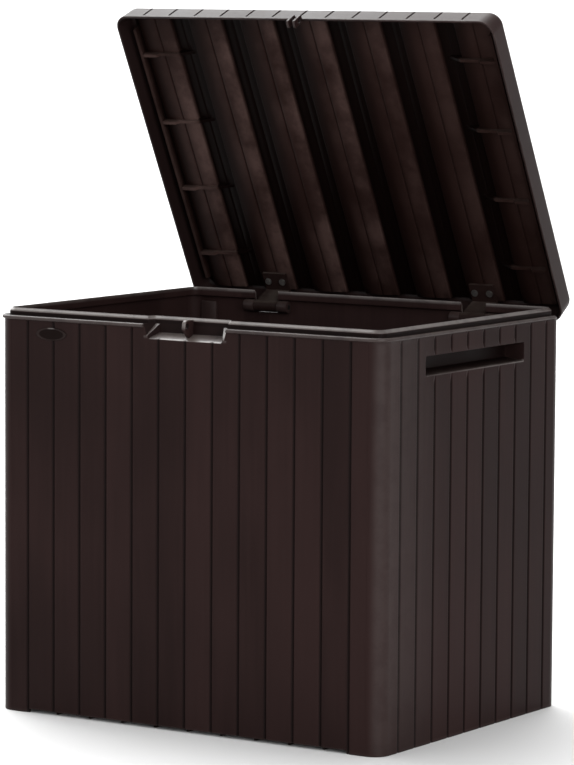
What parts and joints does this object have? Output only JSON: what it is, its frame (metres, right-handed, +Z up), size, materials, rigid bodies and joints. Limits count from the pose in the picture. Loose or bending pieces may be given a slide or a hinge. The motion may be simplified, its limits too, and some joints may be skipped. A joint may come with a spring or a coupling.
{
  "type": "deck storage box",
  "caption": "Small rectangular resin storage box with planked walls, a hinged planked lid standing open, side grip pockets and a padlock recess.",
  "frame": {"origin": "centre of the footprint, on the ground", "axes": "+X to the right seen from the front, -Y out of the front, +Z up; the lid rests open"},
  "size_m": [0.578, 0.4721, 0.8885],
  "materials": {
    "box_resin": "dark brown moulded resin, satin, faint wood grain",
    "lid_resin": "dark brown moulded resin, satin, faint wood grain",
    "liner_resin": "dark brown moulded resin, smooth satin",
    "floor_resin": "dark brown moulded resin, satin",
    "hinge_resin": "dark brown moulded resin, satin",
    "pin_resin": "near-black nylon rod",
    "badge_resin": "dark brown moulded resin, slightly glossier than the wall",
    "screw_steel": "zinc-plated"
  },
  "bodies": {
    "box": {"front_panel": "box_resin", "back_panel": "box_resin", "left_panel": "box_resin", "right_panel": "box_resin", "floor_panel": "floor_resin", "front_badge": "badge_resin", "panel_screws": "screw_steel", "hinge_pin_left": "pin_resin", "hinge_pin_right": "pin_resin"},
    "lid": {"lid_shell": "lid_resin", "lid_liner": "liner_resin", "hinge_arm_left": "hinge_resin", "hinge_arm_right": "hinge_resin", "arm_screws": "screw_steel"}
  },
  "joints": [
    {"name": "lid_hinge", "type": "hinge", "parent": "box", "child": "lid", "pos_m": [0, 0.209, 0.493], "axis": [-1, 0, 0], "range_deg": [-63, 42]}
  ]
}
